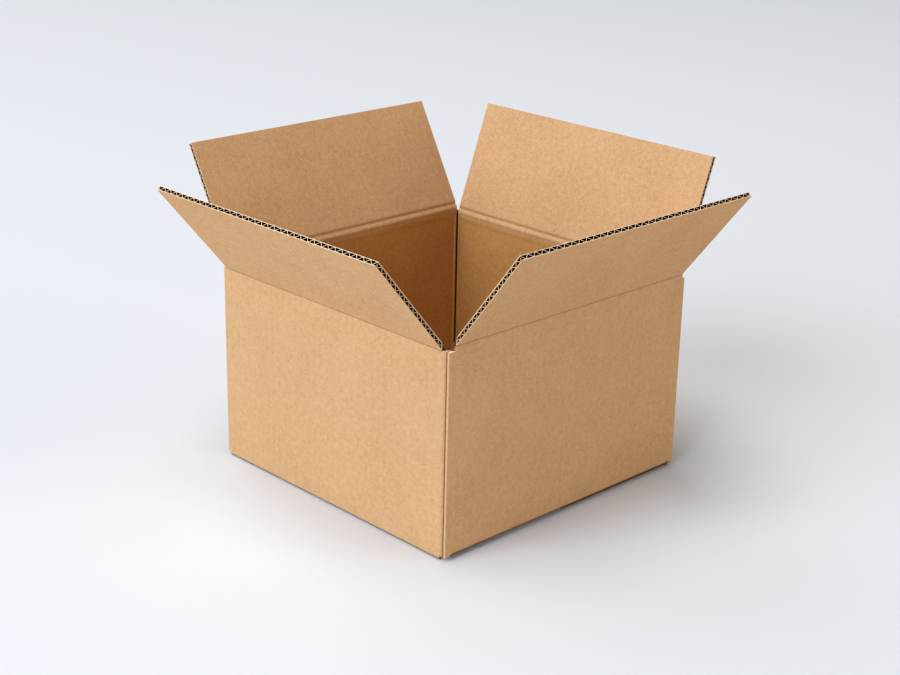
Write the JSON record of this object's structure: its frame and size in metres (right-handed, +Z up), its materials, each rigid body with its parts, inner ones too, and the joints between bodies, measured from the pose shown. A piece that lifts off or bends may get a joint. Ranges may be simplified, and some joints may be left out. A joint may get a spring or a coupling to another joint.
{
  "type": "open cardboard box",
  "caption": "Square slotted shipping box of single-wall corrugated board, open at the top, with hinged top flaps leaning outwards and a glued bottom.",
  "frame": {"origin": "middle of the underside, on the surface the box stands on", "axes": "+Z up; -Y is the front wall and +X the right wall, so the glued corner is at +X -Y"},
  "size_m": [0.3955, 0.3834, 0.275],
  "materials": {
    "wall_board": "matt brown kraft paper",
    "flap_board": "matt brown kraft paper"
  },
  "bodies": {
    "box": {"box_body": "wall_board"},
    "front_flap": {"front_flap": "flap_board"},
    "back_flap": {"back_flap": "flap_board"},
    "left_flap": {"left_flap": "flap_board"},
    "right_flap": {"right_flap": "flap_board"}
  },
  "joints": [
    {"name": "front_crease", "type": "hinge", "parent": "box", "child": "front_flap", "pos_m": [0, -0.14, 0.175], "axis": [1, 0, 0], "range_deg": [-130, 132]},
    {"name": "back_crease", "type": "hinge", "parent": "box", "child": "back_flap", "pos_m": [0, 0.14, 0.175], "axis": [-1, 0, 0], "range_deg": [-110, 152]},
    {"name": "left_crease", "type": "hinge", "parent": "box", "child": "left_flap", "pos_m": [-0.14, 0, 0.1793], "axis": [0, -1, 0], "range_deg": [-119, 143]},
    {"name": "right_crease", "type": "hinge", "parent": "box", "child": "right_flap", "pos_m": [0.14, 0, 0.1793], "axis": [0, 1, 0], "range_deg": [-128, 134]}
  ]
}
